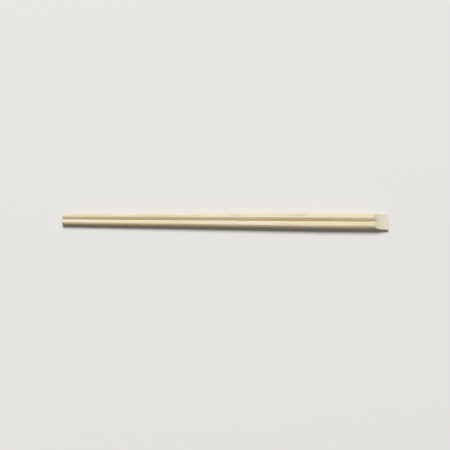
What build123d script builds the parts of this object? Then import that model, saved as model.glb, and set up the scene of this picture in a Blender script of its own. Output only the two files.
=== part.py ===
from build123d import *
import os

# A joined pair of disposable bamboo chopsticks, cut from one flat strip of bamboo.
# Two round sticks lie side by side and stay joined at the head, where the lower half of
# the strip is left solid. A round cutter has scooped the head down from above to a thin tab.
# Frame, in mm: the pair lies on z = 0 with its length along X, its head towards +X, and the
# slit between the sticks on Y = 0. The origin is the middle of the underside.

# Driving sizes of the sticks
length = 210.0  # overall, from the tips to the end of the head
head_diameter = 5.2  # of each stick, over its parallel length
tip_diameter = 3.75  # of each stick, at its tip
head_planing = 0.15  # depth of the flat lands above and below each stick, at the head
tip_planing = 0.075  # depth of the same lands at the tip
parallel_length = 45.0  # from the end of the head to where the sticks start to taper
slit_width = 0.2  # between the two sticks
tip_bevel = 0.3  # round the edge of each cut tip

# Driving sizes of the head
tab_thickness = 1.9  # at the very end of the head
scoop_radius = 17.0  # of the cutter that thins the head from above
web_length = 11.0  # from the end of the head back to where the slit begins
groove_floor_rise = 0.5  # floor of the groove over the web, above the middle of the strip
runout_radius = 12.0  # of the cutter below the sticks, where it lifts out of the strip
side_relief = 0.05  # the strip's sawn sides lie this far inside the sticks' widest line
tab_corner_radius = 0.25  # of the two corners at the end of the head

# Places worked out from the sizes
head_end_x = length / 2
tip_end_x = -length / 2
taper_start_x = head_end_x - parallel_length
slit_end_x = head_end_x - web_length
middle_z = head_diameter / 2 - head_planing
pair_width = 2 * head_diameter + slit_width


def stick_section(x, side, diameter, planing):
    """The section of one stick at x: round, with a flat land above and below."""
    thickness = diameter - 2 * planing
    middle = (x, side * (diameter + slit_width) / 2, thickness / 2)
    section_plane = Plane(origin=middle, x_dir=(0, 1, 0), z_dir=(1, 0, 0))
    return section_plane * (Circle(diameter / 2) & Rectangle(diameter, thickness))


def one_stick(side):
    """A straight taper from a bevelled tip, then a parallel length up to the head."""
    tip = stick_section(tip_end_x, side, tip_diameter, tip_planing)
    shoulder = stick_section(taper_start_x, side, head_diameter, head_planing)
    taper = loft([tip, shoulder], ruled=True)
    tip_rim = taper.faces().sort_by(Axis.X)[0].edges()
    taper = chamfer(tip_rim, tip_bevel)
    return taper + extrude(shoulder, amount=parallel_length - tab_corner_radius)


def cross_cutter(radius, x, z):
    """A round cutter that lies across the strip, with its axis at x and z."""
    middle = Plane(origin=(x, 0, z), x_dir=(1, 0, 0), z_dir=(0, 1, 0))
    return middle * Cylinder(radius, 2 * pair_width)


def head_block():
    """The lower half of the strip, left solid under the head, and the floor of the groove."""
    strip_width = pair_width - 2 * side_relief
    block_middle = Pos((slit_end_x + head_end_x) / 2, 0, middle_z / 2)
    block = block_middle * Box(web_length, strip_width, middle_z)
    end_corners = block.edges().filter_by(Axis.Z).group_by(Axis.X)[-1]
    block = fillet(end_corners, tab_corner_radius)
    block -= cross_cutter(runout_radius, slit_end_x, middle_z - runout_radius)
    floor_length = web_length - tab_corner_radius
    floor_middle = Pos(slit_end_x + floor_length / 2, 0, middle_z + groove_floor_rise / 2)
    stick_spacing = head_diameter + slit_width
    return block + floor_middle * Box(floor_length, stick_spacing, groove_floor_rise)


def chopstick_pair():
    """Both sticks and the block between them, with the head scooped out from above."""
    blank = one_stick(1) + one_stick(-1) + head_block()
    return blank - cross_cutter(scoop_radius, head_end_x, tab_thickness + scoop_radius)


os.makedirs("parts", exist_ok=True)
pair = chopstick_pair()
export_step(pair, "parts/chopstick_pair.step")
print("chopstick_pair", round(pair.volume), "mm3")
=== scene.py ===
import math

import bmesh
import bpy
import numpy as np
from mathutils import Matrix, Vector


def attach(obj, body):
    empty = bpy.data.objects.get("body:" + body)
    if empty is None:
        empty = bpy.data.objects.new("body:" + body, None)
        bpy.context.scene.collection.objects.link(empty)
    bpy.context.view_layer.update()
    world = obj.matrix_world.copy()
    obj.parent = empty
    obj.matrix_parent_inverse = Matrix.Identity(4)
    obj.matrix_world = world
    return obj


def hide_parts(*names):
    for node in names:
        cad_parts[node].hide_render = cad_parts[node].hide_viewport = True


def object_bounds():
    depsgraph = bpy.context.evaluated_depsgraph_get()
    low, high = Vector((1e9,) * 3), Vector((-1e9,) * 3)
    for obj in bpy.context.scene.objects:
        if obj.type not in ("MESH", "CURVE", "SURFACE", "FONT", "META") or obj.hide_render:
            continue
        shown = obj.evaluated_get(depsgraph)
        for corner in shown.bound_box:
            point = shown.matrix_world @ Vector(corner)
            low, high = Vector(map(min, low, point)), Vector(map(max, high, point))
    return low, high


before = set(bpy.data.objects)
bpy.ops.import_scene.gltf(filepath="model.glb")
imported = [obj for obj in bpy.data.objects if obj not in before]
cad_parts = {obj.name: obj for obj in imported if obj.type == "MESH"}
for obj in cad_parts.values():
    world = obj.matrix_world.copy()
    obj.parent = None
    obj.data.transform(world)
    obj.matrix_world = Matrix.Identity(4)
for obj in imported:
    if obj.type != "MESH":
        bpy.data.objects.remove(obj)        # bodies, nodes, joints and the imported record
cad_low, cad_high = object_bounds()

bl_info = {
    "name": "Bamboo chopsticks",
    "version": (1, 0, 0),
    "blender": (4, 5, 0),
    "location": "View3D > Sidebar > Chopsticks",
    "description": "Models a joined pair of disposable bamboo chopsticks on a pale studio floor",
    "category": "Add Mesh",
}

MM = 0.001

# The node and the body of the imported model
PAIR_NODE = "chopstick_pair"
PAIR_BODY = "root"

# The part's own axes: +X from the tips to the head, +Z up, the slit on Y = 0
OVERALL_LENGTH = cad_high.x - cad_low.x
OVERALL_WIDTH = cad_high.y - cad_low.y
OVERALL_THICKNESS = cad_high.z - cad_low.z
SLIT = 0.2 * MM
STICK_DIAMETER = (OVERALL_WIDTH - SLIT) / 2


class ChopstickSizes(bpy.types.PropertyGroup):
    """Sizes of the milled pair of sticks and of its head."""

    length: bpy.props.FloatProperty(
        name="Length",
        description="Overall, from the tips to the end of the head",
        default=OVERALL_LENGTH,
        unit="LENGTH",
    )
    head_diameter: bpy.props.FloatProperty(
        name="Head diameter",
        description="Thickness of one stick over its parallel length",
        default=STICK_DIAMETER,
        unit="LENGTH",
    )
    tip_diameter: bpy.props.FloatProperty(
        name="Tip diameter",
        description="Thickness of one stick at its tip",
        default=3.75 * MM,
        unit="LENGTH",
    )
    head_planing: bpy.props.FloatProperty(
        name="Planing at the head",
        description="Depth of the flat lands above and below each stick, at the head",
        default=(STICK_DIAMETER - OVERALL_THICKNESS) / 2,
        unit="LENGTH",
    )
    tip_planing: bpy.props.FloatProperty(
        name="Planing at the tip",
        description="Depth of the flat lands above and below each stick, at the tip",
        default=0.075 * MM,
        unit="LENGTH",
    )
    parallel_length: bpy.props.FloatProperty(
        name="Parallel length",
        description="From the end of the head to where the sticks start to taper",
        default=45.0 * MM,
        unit="LENGTH",
    )
    slit_width: bpy.props.FloatProperty(
        name="Slit width",
        description="Gap between the two sticks",
        default=SLIT,
        unit="LENGTH",
    )
    tip_bevel: bpy.props.FloatProperty(
        name="Tip bevel",
        description="Worn edge round each cut tip",
        default=0.3 * MM,
        unit="LENGTH",
    )
    tab_thickness: bpy.props.FloatProperty(
        name="Tab thickness",
        description="Thickness of the wood at the very end of the head",
        default=1.9 * MM,
        unit="LENGTH",
    )
    scoop_radius: bpy.props.FloatProperty(
        name="Scoop radius",
        description="Radius of the cutter that thins the head from above",
        default=17.0 * MM,
        unit="LENGTH",
    )
    web_length: bpy.props.FloatProperty(
        name="Web length",
        description="From the end of the head back to where the slit begins",
        default=11.0 * MM,
        unit="LENGTH",
    )
    groove_floor_rise: bpy.props.FloatProperty(
        name="Groove floor",
        description="Height of the groove's floor over the web above the middle of the strip",
        default=0.5 * MM,
        unit="LENGTH",
    )
    runout_radius: bpy.props.FloatProperty(
        name="Run-out radius",
        description="Radius of the cutter below the sticks, where it lifts out of the strip",
        default=12.0 * MM,
        unit="LENGTH",
    )
    side_relief: bpy.props.FloatProperty(
        name="Side relief",
        description="How far the strip's sawn sides lie inside the sticks' widest line",
        default=0.05 * MM,
        unit="LENGTH",
    )
    tab_corner_radius: bpy.props.FloatProperty(
        name="Tab corner radius",
        description="Radius of the two corners at the end of the head, seen from above",
        default=0.25 * MM,
        unit="LENGTH",
    )


class BambooColours(bpy.types.PropertyGroup):
    """Colours of dried, unvarnished bamboo, as sRGB hex values."""

    ground: bpy.props.StringProperty(
        name="Ground",
        description="Pale soft tissue between the fibre bundles",
        default="#F4EBD2",
    )
    ground_shade: bpy.props.StringProperty(
        name="Ground shade",
        description="Slightly warmer soft tissue, in long broad bands",
        default="#EEDFBA",
    )
    cut_ground: bpy.props.StringProperty(
        name="Cut ground",
        description="The same tissue where a cutter went across the fibres",
        default="#E7E3D1",
    )
    bundle: bpy.props.StringProperty(
        name="Fibre bundle",
        description="Tan fibre bundles, cut as long streaks on the sides and as dots at the ends",
        default="#D2B377",
    )
    vessel: bpy.props.StringProperty(
        name="Vessel",
        description="Fine open vessels in the middle of the bundles",
        default="#A07D48",
    )


class BambooGrain(bpy.types.PropertyGroup):
    """Real sizes of the grain of bamboo."""

    bundle_spacing: bpy.props.FloatProperty(
        name="Bundle spacing",
        description="Between the middles of neighbouring fibre bundles",
        default=0.77 * MM,
        unit="LENGTH",
    )
    bundle_radius: bpy.props.FloatProperty(
        name="Bundle radius",
        description="Of a fibre bundle, out to its soft edge",
        default=0.21 * MM,
        unit="LENGTH",
    )
    vessel_radius: bpy.props.FloatProperty(
        name="Vessel radius",
        description="Of the group of open vessels in the middle of a bundle",
        default=0.11 * MM,
        unit="LENGTH",
    )
    fibre_width: bpy.props.FloatProperty(
        name="Fibre width",
        description="Width of the finest streaks",
        default=0.143 * MM,
        unit="LENGTH",
    )
    fibre_length: bpy.props.FloatProperty(
        name="Fibre length",
        description="Length of the finest streaks",
        default=20.0 * MM,
        unit="LENGTH",
    )
    band_width: bpy.props.FloatProperty(
        name="Band width",
        description="Width of the broad bands of warmer wood",
        default=2.2 * MM,
        unit="LENGTH",
    )
    band_length: bpy.props.FloatProperty(
        name="Band length",
        description="Length of the broad bands of warmer wood",
        default=83.0 * MM,
        unit="LENGTH",
    )
    wander: bpy.props.FloatProperty(
        name="Wander",
        description="How far the fibres stray sideways along the sticks",
        default=1.4 * MM,
        unit="LENGTH",
    )
    wander_width: bpy.props.FloatProperty(
        name="Wander width",
        description="Width over which neighbouring fibres stray together",
        default=8.3 * MM,
        unit="LENGTH",
    )
    wander_length: bpy.props.FloatProperty(
        name="Wander length",
        description="Length over which the fibres stray to one side",
        default=56.0 * MM,
        unit="LENGTH",
    )


class StudioSettings(bpy.types.PropertyGroup):
    """The floor, the light and the camera."""

    floor: bpy.props.StringProperty(
        name="Floor",
        description="Colour of the pale floor as it is seen",
        default="#F2F0EC",
    )
    floor_bounce: bpy.props.StringProperty(
        name="Floor bounce",
        description="Colour of the floor as it lights the underside of the sticks",
        default="#9A8558",
    )
    air: bpy.props.StringProperty(
        name="Air",
        description="Colour of the empty studio behind the floor, as it is seen",
        default="#F2F0EC",
    )
    air_strength: bpy.props.FloatProperty(
        name="Air strength",
        description="Even white light from all round the studio",
        default=0.18,
    )
    light_direction: bpy.props.FloatVectorProperty(
        name="Light direction",
        description="From the middle of the part towards the softbox: behind and a little left",
        default=(-0.1, 0.8, 1.2),
        subtype="DIRECTION",
    )
    light_distance: bpy.props.FloatProperty(
        name="Light distance",
        description="From the softbox to the middle of the part",
        default=8.0,
        unit="LENGTH",
    )
    light_width: bpy.props.FloatProperty(
        name="Light width",
        description="Width of the square softbox",
        default=4.0,
        unit="LENGTH",
    )
    light_power: bpy.props.FloatProperty(
        name="Light power",
        description="Of the softbox",
        default=588.0,
        unit="POWER",
    )
    camera_azimuth: bpy.props.FloatProperty(
        name="Camera azimuth",
        description="Turn of the view about the vertical",
        default=math.radians(0.53),
        subtype="ANGLE",
    )
    camera_elevation: bpy.props.FloatProperty(
        name="Camera elevation",
        description="Height of the view above the horizon",
        default=math.radians(72.0),
        subtype="ANGLE",
    )
    camera_distance: bpy.props.FloatProperty(
        name="Camera distance",
        description="From the camera to its target",
        default=0.4893,
        unit="LENGTH",
    )
    camera_target: bpy.props.FloatVectorProperty(
        name="Camera target",
        description="The point on the floor that the camera looks at",
        default=(-0.157 * MM, -2.35 * MM, 0.0),
        subtype="TRANSLATION",
    )
    focal_length: bpy.props.FloatProperty(
        name="Focal length",
        description="Of the lens, in millimetres on a 36 mm sensor",
        default=60.56,
    )


def linear(hex_colour):
    """An sRGB hex colour as linear RGBA."""
    parts = [int(hex_colour[i : i + 2], 16) / 255 for i in (1, 3, 5)]
    return [p / 12.92 if p <= 0.04045 else ((p + 0.055) / 1.055) ** 2.4 for p in parts] + [1.0]


def fresh_tree(owner):
    """The empty node tree of a new material or world."""
    owner.use_nodes = True
    owner.node_tree.nodes.clear()
    return owner.node_tree


def add_node(tree, kind, inputs, **settings):
    """Adds a node with its settings. An input is given a value, a socket to link, or a node,
    which stands for the first of its outputs that is in use."""
    made = tree.nodes.new("ShaderNode" + kind)
    for name, value in settings.items():
        setattr(made, name, value)
    for name, value in inputs.items():
        if isinstance(value, bpy.types.Node):
            value = next(output for output in value.outputs if output.enabled)
        if isinstance(value, bpy.types.NodeSocket):
            tree.links.new(value, made.inputs[name])
        else:
            made.inputs[name].default_value = value
    return made


def strip_middle(sizes):
    """Height of the middle of the strip that the sticks were cut from."""
    return sizes.head_diameter / 2 - sizes.head_planing


def strip_half_width(sizes):
    """Half the width of the strip, at its sawn sides."""
    return sizes.head_diameter + sizes.slit_width / 2 - sizes.side_relief


def scoop_height(sizes, from_end):
    """Height of the scooped face at a distance from the end of the head."""
    if from_end >= sizes.scoop_radius:
        return math.inf
    axis_height = sizes.tab_thickness + sizes.scoop_radius
    return axis_height - math.sqrt(sizes.scoop_radius**2 - from_end**2)


def runout_height(sizes, from_end):
    """Height of the block's underside, where the cutter below the sticks lifts out."""
    past_slit = sizes.web_length - from_end
    lift = math.sqrt(max(sizes.runout_radius**2 - past_slit**2, 0))
    return max(strip_middle(sizes) - sizes.runout_radius + lift, 0)


def half_width_in_plan(sizes, from_end):
    """Half the pair's width as seen from above, with the rounded corners of the tab."""
    corner = sizes.tab_corner_radius
    into_corner = corner - from_end
    if into_corner <= 0:
        return sizes.head_diameter + sizes.slit_width / 2
    return strip_half_width(sizes) - corner + math.sqrt(corner**2 - into_corner**2)


# Keeps a division by the sine or cosine of an angle finite
TINY = 1e-9

# As the scoop sinks through the groove, the inner edge of the top face moves out again, so that
# the mesh columns stay apart: from this height above the groove's floor, and by this share of
# the depth below that height
PARTING_START = 0.6 * MM
PARTING_SHARE = 0.8


class Section:
    """The cross-section of the +Y half of the pair, at a distance from the end of the head. Its
    outline is found by angle round a pole in the wood, halfway up on the stick's middle line."""

    def __init__(self, sizes, from_end):
        share = min((sizes.length - from_end) / (sizes.length - sizes.parallel_length), 1)
        diameter = sizes.tip_diameter + (sizes.head_diameter - sizes.tip_diameter) * share
        planing = sizes.tip_planing + (sizes.head_planing - sizes.tip_planing) * share
        thickness = diameter - 2 * planing
        self.radius = diameter / 2
        self.centre_y = (diameter + sizes.slit_width) / 2
        self.centre_z = thickness / 2
        self.top = min(thickness, scoop_height(sizes, from_end))
        self.pole_z = self.top / 2
        self.plan_half_width = half_width_in_plan(sizes, from_end)

        # The block that joins the sticks at the head
        self.has_block = from_end < sizes.web_length
        self.half_width = strip_half_width(sizes)
        self.middle = strip_middle(sizes)
        self.floor_rise = sizes.groove_floor_rise
        self.low = runout_height(sizes, from_end) if self.has_block else self.middle

    def stick_reach(self, across, up):
        """How far a line from the pole runs inside the round stick."""
        above_centre = self.pole_z - self.centre_z
        along = above_centre * up
        return math.sqrt(along**2 - above_centre**2 + self.radius**2) - along

    def block_reach(self, across, up):
        """How far the line runs inside the block, below the groove's floor."""
        if not self.has_block:
            return 0
        if across > 0:
            side = self.half_width - self.centre_y
            roof = self.middle
        else:
            side = self.centre_y
            roof = self.middle + self.floor_rise
        rise = roof - self.pole_z if up > 0 else self.pole_z - self.low
        return min(side / max(abs(across), TINY), max(rise, 0) / max(abs(up), TINY))

    def trimmed_reach(self, across, up):
        """How far the line runs before the top, the underside or the tab's corner cuts it off."""
        to_flat = self.top - self.pole_z if up > 0 else self.pole_z
        reach = to_flat / max(abs(up), TINY)
        if across > 0:
            reach = min(reach, (self.plan_half_width - self.centre_y) / max(across, TINY))
        return reach

    def skin(self, angle):
        """Where the line at this angle leaves the wood, as (y, z)."""
        across, up = math.cos(angle), math.sin(angle)
        reach = max(self.stick_reach(across, up), self.block_reach(across, up))
        reach = min(reach, self.trimmed_reach(across, up))
        return self.centre_y + across * reach, self.pole_z + up * reach

    def outer_y(self, z):
        """The outer side of the wood at height z."""
        side = self.centre_y + math.sqrt(max(self.radius**2 - (z - self.centre_z) ** 2, 0))
        if self.has_block and self.low <= z <= self.middle:
            side = max(side, self.half_width)
        return min(side, self.plan_half_width)

    def inner_y(self):
        """The inner edge of the top face, at the groove or in the scoop beyond it."""
        round_reach = math.sqrt(max(self.radius**2 - (self.top - self.centre_z) ** 2, 0))
        groove_floor = self.middle + self.floor_rise
        parting = PARTING_SHARE * max(groove_floor + PARTING_START - self.top, 0)
        return max(self.centre_y - round_reach, parting)

    def angle_to(self, y, z):
        """The angle at which a point is seen from the pole."""
        return math.atan2(z - self.pole_z, y - self.centre_y)

    def edges(self):
        """The angles of the lengthwise edges, in order round the section."""
        if self.has_block:
            web_top = self.angle_to(0, min(self.middle + self.floor_rise, self.top))
            web_foot = self.angle_to(0, self.low)
            lower_z = self.low
        else:
            web_top = math.pi - math.atan2(self.floor_rise, self.radius)
            web_foot = math.pi
            lower_z = self.centre_z
        if web_foot > 0:
            web_foot -= 2 * math.pi
        land = math.sqrt(self.radius**2 - self.centre_z**2)
        return [
            web_top,
            self.angle_to(self.inner_y(), self.top),
            self.angle_to(self.outer_y(self.top), self.top),
            self.angle_to(self.outer_y(lower_z), lower_z),
            self.angle_to(self.centre_y + land, 0),
            self.angle_to(self.centre_y - land, 0),
            web_foot,
            web_top - 2 * math.pi,
        ]


# Mesh columns between one lengthwise edge and the next: up the groove's side, over the top
# face, down the outer side, under the stick's outer side, over the bottom land, up the inner
# side, and up the web
COLUMNS = (20, 20, 22, 20, 10, 20, 4)

# Places tried along the skin for each mesh column
OVERSAMPLING = 4


def spread(section, start, end, count):
    """Points evenly spaced along the skin between two angles, without the last one."""
    angles = np.linspace(start, end, OVERSAMPLING * count + 1)
    skin = np.array([section.skin(angle) for angle in angles])
    steps = np.linalg.norm(np.diff(skin, axis=0), axis=1)
    along = np.concatenate([[0], np.cumsum(steps)])
    wanted = np.linspace(0, along[-1], count, endpoint=False)
    return [(np.interp(w, along, skin[:, 0]), np.interp(w, along, skin[:, 1])) for w in wanted]


# Steps between the rings: at the tip's rim, at the head, and along the shaft
RIM_STEP = 0.06 * MM
HEAD_STEP = 0.12 * MM
SHAFT_STEP = 1.1 * MM

# Over this length the steps grow or shrink to the next size
GRADED_LENGTH = 6.0 * MM

# The fine steps begin this far before the web, and the web's first ring lies just inside it
FINE_LEAD = 1.56 * MM
WEB_INSET = 0.04 * MM

# Rings on the face of the tip, as shares of its radius, and on its bevel
TIP_FACE_SHARES = (0, 0.15, 0.3, 0.45, 0.6, 0.74, 0.86, 0.95)
BEVEL_RINGS = 5

# Rings on the end of the head: first by their inset, then as shares of the last inset ring
HEAD_FACE_INSETS = (0, 0.1 * MM, 0.2 * MM, 0.32 * MM, 0.46 * MM)
HEAD_FACE_SHARES = (0.8, 0.55, 0.3, 0)


def graded(start, end, first, last):
    """Distances from start to, and without, end, with steps that grow or shrink evenly."""
    count = max(round(2 * abs(end - start) / (first + last)), 1)
    steps = np.linspace(first, last, count)
    return list(start + (np.cumsum(steps) - steps) * (end - start) / steps.sum())


def rings(sizes):
    """Every ring of the half pair, from the middle of the tip's face to the middle of the head's
    end: its distance from the end of the head, its share of the outline, and its inset."""
    tip = sizes.length
    rim = tip - sizes.tip_bevel
    slit_end = sizes.web_length
    fine_start = slit_end + FINE_LEAD
    face_share = 1 - 2 * sizes.tip_bevel / sizes.tip_diameter
    made = [(tip, face_share * share, 0) for share in TIP_FACE_SHARES]
    for share in np.linspace(0, 1, BEVEL_RINGS, endpoint=False):
        drawn_in = 2 * sizes.tip_bevel * (1 - share) / sizes.tip_diameter
        made.append((tip - sizes.tip_bevel * share, 1 - drawn_in, 0))
    shaft = graded(rim, rim - GRADED_LENGTH, RIM_STEP, SHAFT_STEP)
    shaft += graded(rim - GRADED_LENGTH, fine_start + GRADED_LENGTH, SHAFT_STEP, SHAFT_STEP)
    shaft += graded(fine_start + GRADED_LENGTH, fine_start, SHAFT_STEP, HEAD_STEP)
    shaft += graded(fine_start, slit_end, HEAD_STEP, HEAD_STEP)
    shaft += [slit_end]
    shaft += graded(slit_end - WEB_INSET, 0, HEAD_STEP, HEAD_STEP)
    made += [(from_end, 1, 0) for from_end in shaft]
    made += [(0, 1, inset) for inset in HEAD_FACE_INSETS]
    made += [(0, share, HEAD_FACE_INSETS[-1]) for share in HEAD_FACE_SHARES]
    return made


def ring_points(sizes, from_end, share, inset):
    """The points of one ring, one for each mesh column. A ring on the tip's face is drawn in to
    the middle of the stick, and one on the head's end to the middle of the pair."""
    section = Section(sizes, from_end)
    edges = section.edges()
    outline = []
    for start, end, count in zip(edges, edges[1:], COLUMNS):
        outline += spread(section, start, end, count)
    if from_end > sizes.length / 2:
        middle_y = section.centre_y
        share_y = share_z = share
    else:
        middle_y = 0
        share_y = share * (1 - inset / section.plan_half_width)
        share_z = share * (1 - inset / section.pole_z)
    x = sizes.length / 2 - from_end
    points = []
    for y, z in outline:
        drawn_y = middle_y + (y - middle_y) * share_y
        drawn_z = section.pole_z + (z - section.pole_z) * share_z
        points.append(Vector((x, drawn_y, drawn_z)))
    return points


# The piece's own UV map, for its colours to be baked into
BAKE_MAP = "OFBake"

# Points nearer than this are merged, and edges shorter than the next value are dropped. Faces
# as near as that to the middle plane lie in it.
MERGE_DISTANCE = 1e-7
PLANE_TOLERANCE = 1e-8

# Rounds of smoothing that wear the milled edges to a radius of about 0.1 mm
WEAR_ROUNDS = 3
WEAR_FACTOR = 0.5


def wrapped_half(bm, sizes):
    """The +Y stick with its half of the head: a grid of rings and columns wrapped round it."""
    stations = rings(sizes)
    across = len(stations) - 1
    around = sum(COLUMNS)
    bm.loops.layers.uv.new(BAKE_MAP)
    bmesh.ops.create_grid(bm, x_segments=across, y_segments=around, size=1, calc_uvs=True)
    places = [ring_points(sizes, *station) for station in stations]
    for vert in bm.verts:
        ring = round((vert.co.x + 1) / 2 * across)
        column = round((vert.co.y + 1) / 2 * around)
        vert.co = places[ring][column % around]
    bmesh.ops.remove_doubles(bm, verts=bm.verts, dist=MERGE_DISTANCE)

    # The web's faces on the middle plane go, because the other half closes the web
    inside = [f for f in bm.faces if all(abs(v.co.y) < PLANE_TOLERANCE for v in f.verts)]
    bmesh.ops.delete(bm, geom=inside, context="FACES")


def make_pair(sizes):
    """The whole pair as one closed mesh in its place."""
    bm = bmesh.new()
    wrapped_half(bm, sizes)

    # Each stick takes one half of the UV map
    uv = bm.loops.layers.uv[BAKE_MAP]
    for face in bm.faces:
        for loop in face.loops:
            loop[uv].uv.y /= 2
    half = bm.verts[:] + bm.edges[:] + bm.faces[:]
    bmesh.ops.mirror(bm, geom=half, axis="Y", merge_dist=MERGE_DISTANCE)
    for face in bm.faces:
        if face.calc_center_median().y < 0:
            for loop in face.loops:
                loop[uv].uv.y = 1 - loop[uv].uv.y

    bmesh.ops.dissolve_degenerate(bm, dist=PLANE_TOLERANCE, edges=bm.edges)
    for _ in range(WEAR_ROUNDS):
        bmesh.ops.smooth_vert(
            bm,
            verts=bm.verts,
            factor=WEAR_FACTOR,
            use_axis_x=True,
            use_axis_y=True,
            use_axis_z=True,
        )
    bmesh.ops.recalc_face_normals(bm, faces=bm.faces)
    for face in bm.faces:
        face.smooth = True
    mesh = bpy.data.meshes.new(PAIR_NODE)
    bm.to_mesh(mesh)
    bm.free()
    pair = bpy.data.objects.new("bamboo_pair", mesh)
    bpy.context.scene.collection.objects.link(pair)
    return pair


# The setting that turns a Map Range node into a soft step
SOFT = {"interpolation_type": "SMOOTHSTEP"}

# A face counts as cut across the fibres where its normal's X goes from the first value to the
# second, and the scooped face has this share of it
CUT_FACING_START = 0.06
CUT_FACING_FULL = 0.6
SCOOP_CUT = 0.8

# In millimetres, how deep under the cutter's own surface the wood still has that share, and how
# deep it has none
SCOOP_SKIN = 0.1
SCOOP_SKIN_END = 0.2


def cut_share(tree, in_mm, normal, sizes):
    """Near one where a cutter went across the fibres, on the tips, the end of the tab and the
    scoop, and zero elsewhere."""
    facing = add_node(tree, "SeparateXYZ", {0: normal})
    lengthwise = add_node(tree, "Math", {0: facing.outputs["X"]}, operation="ABSOLUTE")
    facing_span = {"From Min": CUT_FACING_START, "From Max": CUT_FACING_FULL}
    across_fibres = add_node(tree, "MapRange", {"Value": lengthwise, **facing_span}, **SOFT)

    radius = sizes.scoop_radius / MM
    axis = (sizes.length / 2 / MM, 0, sizes.tab_thickness / MM + radius)
    from_axis = add_node(tree, "VectorMath", {0: in_mm, 1: axis}, operation="SUBTRACT")
    off_axis = add_node(tree, "VectorMath", {0: from_axis, 1: (1, 0, 1)}, operation="MULTIPLY")
    distance = add_node(tree, "VectorMath", {0: off_axis}, operation="LENGTH")
    skin_span = {"From Min": radius + SCOOP_SKIN, "From Max": radius + SCOOP_SKIN_END}
    skin_share = {"To Min": SCOOP_CUT, "To Max": 0}
    scooped = add_node(tree, "MapRange", {"Value": distance, **skin_span, **skin_share}, **SOFT)
    return add_node(tree, "Math", {0: across_fibres, 1: scooped}, operation="MAXIMUM")


def long_noise(tree, place, length, width, detail):
    """Noise in long streaks along X, on a place in millimetres."""
    scale = (MM / length, MM / width, MM / width)
    streaks = add_node(tree, "VectorMath", {0: place, 1: scale}, operation="MULTIPLY")
    return add_node(tree, "TexNoise", {"Vector": streaks, "Scale": 1, "Detail": detail})


# How fast the bundles crowd towards the top, for each millimetre of height
CROWDING = 0.05

# How far a bundle may lie from its place in an even pattern
BUNDLE_DISORDER = 0.65


def bundle_cells(tree, fibres, grain):
    """A flat pattern of cells across the fibres, one for each bundle. The top of the strip was
    nearer the outside of the culm, where the bundles are closer together."""
    up = (0, 0, CROWDING)
    crowding = add_node(tree, "VectorMath", {0: fibres, 1: up}, operation="MULTIPLY")
    terms = {0: fibres, 1: crowding, 2: fibres}
    crowded = add_node(tree, "VectorMath", terms, operation="MULTIPLY_ADD")
    place = add_node(tree, "SeparateXYZ", {0: crowded})
    flat = add_node(tree, "CombineXYZ", {0: place.outputs["Y"], 1: place.outputs["Z"]})
    pattern = {"Scale": MM / grain.bundle_spacing, "Randomness": BUNDLE_DISORDER}
    return add_node(tree, "TexVoronoi", {"Vector": flat, **pattern}, voronoi_dimensions="2D")


# Inside this share of its radius, a bundle has its full tone, and a group of vessels has it
# inside the second
BUNDLE_CORE = 0.3
VESSEL_CORE = 0.36

# Tone of the palest and of the darkest bundle, and of the vessels
BUNDLE_TONES = {"To Min": 0.3, "To Max": 0.9}
VESSEL_TONE = 0.3

# This share of the bundles has vessels that are darker by the second value
STAINED_SHARE = 0.14
STAIN = 0.25


def round_patch(tree, cells, radius, core_share, spacing):
    """One in the middle of each cell, up to this share of the radius, and zero past the radius."""
    span = {"From Min": core_share * radius / spacing, "From Max": radius / spacing}
    fall = {"Value": cells.outputs["Distance"], **span, "To Min": 1, "To Max": 0}
    return add_node(tree, "MapRange", fall, **SOFT)


def bundle_layers(tree, fibres, grain):
    """The tone of the fibre bundles, each with a strength of its own, and of their vessels."""
    cells = bundle_cells(tree, fibres, grain)
    chance = add_node(tree, "SeparateColor", {0: cells.outputs["Color"]})
    strength = add_node(tree, "MapRange", {"Value": chance.outputs[0], **BUNDLE_TONES}, **SOFT)
    bundle = round_patch(tree, cells, grain.bundle_radius, BUNDLE_CORE, grain.bundle_spacing)
    bundle_tone = add_node(tree, "Math", {0: bundle, 1: strength}, operation="MULTIPLY")

    unstained = 1 - STAINED_SHARE
    stained = add_node(tree, "Math", {0: chance.outputs[1], 1: unstained}, operation="GREATER_THAN")
    tones = {0: stained, 1: STAIN, 2: VESSEL_TONE}
    vessel_tone = add_node(tree, "Math", tones, operation="MULTIPLY_ADD")
    vessel = round_patch(tree, cells, grain.vessel_radius, VESSEL_CORE, grain.bundle_spacing)
    vessel_share = add_node(tree, "Math", {0: vessel, 1: vessel_tone}, operation="MULTIPLY")
    return bundle_tone, vessel_share


def less_where_cut(tree, tone, cut, loss):
    """A tone that loses this share of itself on the cut faces."""
    kept = add_node(tree, "Math", {0: cut, 1: -loss, 2: 1}, operation="MULTIPLY_ADD")
    return add_node(tree, "Math", {0: tone, 1: kept}, operation="MULTIPLY")


# Shares of their tone that the bundles and the fine streaks lose on the cut faces
BUNDLE_LOSS = 0.35
STREAK_LOSS = 0.6

# The stretch of the noise that shows as fine streaks, and their tone
STREAK_TONES = {"From Min": 0.42, "From Max": 0.8, "To Max": 0.55}

# The stretch of the noise over which one band of wood turns into the next
BAND_TONES = {"From Min": 0.3, "From Max": 0.7}

# Satin where the wood was planed along the fibres, and duller by the second value where cut
PLANED_ROUGHNESS = {"From Min": 0.3, "From Max": 0.7, "To Min": 0.46, "To Max": 0.6}
CUT_ROUGHNESS = 0.16

# Depth of the grain as it is felt, its strength on planed wood, and what a cut adds to that
GRAIN_RELIEF = 0.012 * MM
PLANED_RELIEF = 0.55
CUT_RELIEF = 0.35

# How far the bundles stand out beside the fine fibres
BUNDLE_RELIEF = 0.5

# Typical of bare wood
WOOD_IOR = 1.5


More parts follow.
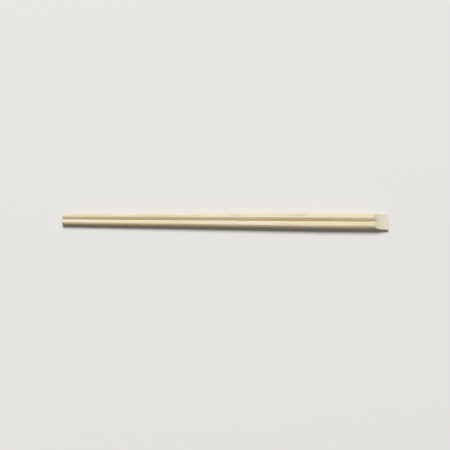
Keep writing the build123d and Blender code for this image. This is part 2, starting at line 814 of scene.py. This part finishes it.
def planed_bamboo(colours, grain, sizes):
    """Dried bamboo, milled and tumbled smooth but not varnished. The eye sees a pale satin
    straw colour with tan fibre bundles, which run the whole length: long fine streaks on the
    sides, stretched dots on the scooped head and round dots on the cut ends. Where a cutter
    went across the fibres the wood is paler and rougher. Real fibres are ten times finer than
    the finest streaks here, which are drawn as coarse as they need to show."""
    material = bpy.data.materials.new("planed_bamboo")
    tree = fresh_tree(material)
    place = add_node(tree, "TexCoord", {})
    to_mm = {0: place.outputs["Object"], 1: (1 / MM, 1 / MM, 1 / MM)}
    in_mm = add_node(tree, "VectorMath", to_mm, operation="MULTIPLY")
    cut = cut_share(tree, in_mm, place.outputs["Normal"], sizes)

    # The fibres stray sideways a little along their length
    stray = long_noise(tree, in_mm, grain.wander_length, grain.wander_width, 1)
    reach = (0, grain.wander / MM, grain.wander / MM)
    sideways = {0: stray.outputs["Color"], 1: reach, 2: in_mm}
    fibres = add_node(tree, "VectorMath", sideways, operation="MULTIPLY_ADD")

    bundle_tone, vessel_share = bundle_layers(tree, fibres, grain)
    bundle_share = less_where_cut(tree, bundle_tone, cut, BUNDLE_LOSS)
    fibre = long_noise(tree, fibres, grain.fibre_length, grain.fibre_width, 3)
    streak_tone = add_node(tree, "MapRange", {"Value": fibre, **STREAK_TONES}, **SOFT)
    streak_share = less_where_cut(tree, streak_tone, cut, STREAK_LOSS)
    band = long_noise(tree, fibres, grain.band_length, grain.band_width, 2)
    band_share = add_node(tree, "MapRange", {"Value": band, **BAND_TONES}, **SOFT)

    # Each layer of colour lies over the ones before it. Inputs 0, 6 and 7 of a colour mix are
    # the upper layer's share, the colour below and the colour above.
    layers = (
        (band_share, colours.ground_shade),
        (cut, colours.cut_ground),
        (streak_share, colours.bundle),
        (bundle_share, colours.bundle),
        (vessel_share, colours.vessel),
    )
    colour = linear(colours.ground)
    for share, above in layers:
        colour = add_node(tree, "Mix", {0: share, 6: colour, 7: linear(above)}, data_type="RGBA")

    planed = add_node(tree, "MapRange", {"Value": fibre, **PLANED_ROUGHNESS}, **SOFT)
    dulled = {0: cut, 1: CUT_ROUGHNESS, 2: planed}
    roughness = add_node(tree, "Math", dulled, operation="MULTIPLY_ADD")
    height = {0: bundle_tone, 1: BUNDLE_RELIEF, 2: fibre}
    relief = add_node(tree, "Math", height, operation="MULTIPLY_ADD")
    raised = {0: cut, 1: CUT_RELIEF, 2: PLANED_RELIEF}
    strength = add_node(tree, "Math", raised, operation="MULTIPLY_ADD")
    felt = {"Strength": strength, "Distance": GRAIN_RELIEF, "Height": relief}
    bump = add_node(tree, "Bump", felt)
    surface = {"Base Color": colour, "Roughness": roughness, "IOR": WOOD_IOR, "Normal": bump}
    shader = add_node(tree, "BsdfPrincipled", surface)
    add_node(tree, "OutputMaterial", {"Surface": shader})
    return material


def seen_share(tree):
    """One where the camera sees the surface, also in a gloss or through glass, and else zero."""
    path = add_node(tree, "LightPath", {})
    rays = {0: path.outputs["Is Camera Ray"], 1: path.outputs["Is Glossy Ray"]}
    direct = add_node(tree, "Math", rays, operation="MAXIMUM")
    through = path.outputs["Is Transmission Ray"]
    return add_node(tree, "Math", {0: direct, 1: through}, operation="MAXIMUM")


def studio_floor_paint(settings):
    """A matt painted studio floor, pale as the camera sees it, that throws less light back
    up at the object than it shows."""
    material = bpy.data.materials.new("studio_floor_paint")
    tree = fresh_tree(material)
    colours = {6: linear(settings.floor_bounce), 7: linear(settings.floor)}
    colour = add_node(tree, "Mix", {0: seen_share(tree), **colours}, data_type="RGBA")
    shader = add_node(tree, "BsdfDiffuse", {"Color": colour})
    add_node(tree, "OutputMaterial", {"Surface": shader})
    return material


def aim(thing, target):
    """Points a light or the camera at a place."""
    thing.rotation_euler = (target - thing.location).to_track_quat("-Z", "Y").to_euler()


# Half the floor's width, and the gap that keeps it clear of the wood
FLOOR_REACH = 3.0
FLOOR_GAP = 0.01 * MM


def add_floor(settings):
    """A wide flat floor just under the object."""
    bm = bmesh.new()
    bmesh.ops.create_grid(bm, x_segments=1, y_segments=1, size=FLOOR_REACH)
    bmesh.ops.translate(bm, verts=bm.verts, vec=(0, 0, cad_low.z - FLOOR_GAP))
    mesh = bpy.data.meshes.new("studio_floor")
    bm.to_mesh(mesh)
    bm.free()
    floor = bpy.data.objects.new("studio_floor", mesh)
    floor.data.materials.append(studio_floor_paint(settings))
    bpy.context.scene.collection.objects.link(floor)


def add_softbox(settings):
    """One large soft light, behind the sticks and a little to the left."""
    lamp = bpy.data.lights.new("softbox", "AREA")
    lamp.size = settings.light_width
    lamp.energy = settings.light_power
    softbox = bpy.data.objects.new("softbox", lamp)
    direction = Vector(settings.light_direction).normalized()
    softbox.location = direction * settings.light_distance
    aim(softbox, Vector((0, 0, 0)))
    bpy.context.scene.collection.objects.link(softbox)


WHITE = (1.0, 1.0, 1.0, 1.0)


def add_world(settings):
    """Even white light from all round the studio, which is pale where it is seen."""
    world = bpy.data.worlds.new("studio_air")
    tree = fresh_tree(world)
    light = add_node(tree, "Background", {"Color": WHITE, "Strength": settings.air_strength})
    backdrop = add_node(tree, "Background", {"Color": linear(settings.air)})
    surface = add_node(tree, "MixShader", {0: seen_share(tree), 1: light, 2: backdrop})
    add_node(tree, "OutputWorld", {"Surface": surface})
    bpy.context.scene.world = world


# In millimetres, as the focal length is
SENSOR_WIDTH = 36.0


def add_camera(settings):
    """The camera at the photograph's viewing angle and framing."""
    camera = bpy.data.objects.new("camera", bpy.data.cameras.new("camera"))
    camera.data.lens = settings.focal_length
    camera.data.sensor_width = SENSOR_WIDTH
    level, rise = settings.camera_azimuth, settings.camera_elevation
    ahead = math.cos(rise)
    back = Vector((math.sin(level) * ahead, -math.cos(level) * ahead, math.sin(rise)))
    target = Vector(settings.camera_target)
    camera.location = target + back * settings.camera_distance
    aim(camera, target)
    bpy.context.scene.collection.objects.link(camera)
    bpy.context.scene.camera = camera


class CHOPSTICKS_OT_pair(bpy.types.Operator):
    """Adds the joined pair of bamboo sticks"""

    bl_idname = "chopsticks.pair"
    bl_label = "Bamboo pair"

    def execute(self, context):
        scene = context.scene
        sizes = scene.chopstick_sizes
        pair = make_pair(sizes)
        pair.data.materials.append(planed_bamboo(scene.bamboo_colours, scene.bamboo_grain, sizes))
        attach(pair, PAIR_BODY)
        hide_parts(PAIR_NODE)
        return {"FINISHED"}


class CHOPSTICKS_OT_stage(bpy.types.Operator):
    """Adds the floor, the light and the camera"""

    bl_idname = "chopsticks.stage"
    bl_label = "Studio stage"

    def execute(self, context):
        settings = context.scene.studio_settings
        context.scene.view_settings.view_transform = "Standard"
        add_floor(settings)
        add_softbox(settings)
        add_world(settings)
        add_camera(settings)
        return {"FINISHED"}


class CHOPSTICKS_PT_panel(bpy.types.Panel):
    """Lists the steps that build the chopsticks and their stage"""

    bl_idname = "CHOPSTICKS_PT_panel"
    bl_label = "Bamboo chopsticks"
    bl_space_type = "VIEW_3D"
    bl_region_type = "UI"
    bl_category = "Chopsticks"

    def draw(self, context):
        self.layout.operator(CHOPSTICKS_OT_pair.bl_idname)
        self.layout.operator(CHOPSTICKS_OT_stage.bl_idname)


CLASSES = (
    ChopstickSizes,
    BambooColours,
    BambooGrain,
    StudioSettings,
    CHOPSTICKS_OT_pair,
    CHOPSTICKS_OT_stage,
    CHOPSTICKS_PT_panel,
)


def register():
    for cls in CLASSES:
        bpy.utils.register_class(cls)
    bpy.types.Scene.chopstick_sizes = bpy.props.PointerProperty(type=ChopstickSizes)
    bpy.types.Scene.bamboo_colours = bpy.props.PointerProperty(type=BambooColours)
    bpy.types.Scene.bamboo_grain = bpy.props.PointerProperty(type=BambooGrain)
    bpy.types.Scene.studio_settings = bpy.props.PointerProperty(type=StudioSettings)


def unregister():
    del bpy.types.Scene.studio_settings
    del bpy.types.Scene.bamboo_grain
    del bpy.types.Scene.bamboo_colours
    del bpy.types.Scene.chopstick_sizes
    for cls in reversed(CLASSES):
        bpy.utils.unregister_class(cls)


def main():
    register()
    bpy.ops.chopsticks.pair()
    bpy.ops.chopsticks.stage()


if __name__ == "__main__":
    main()
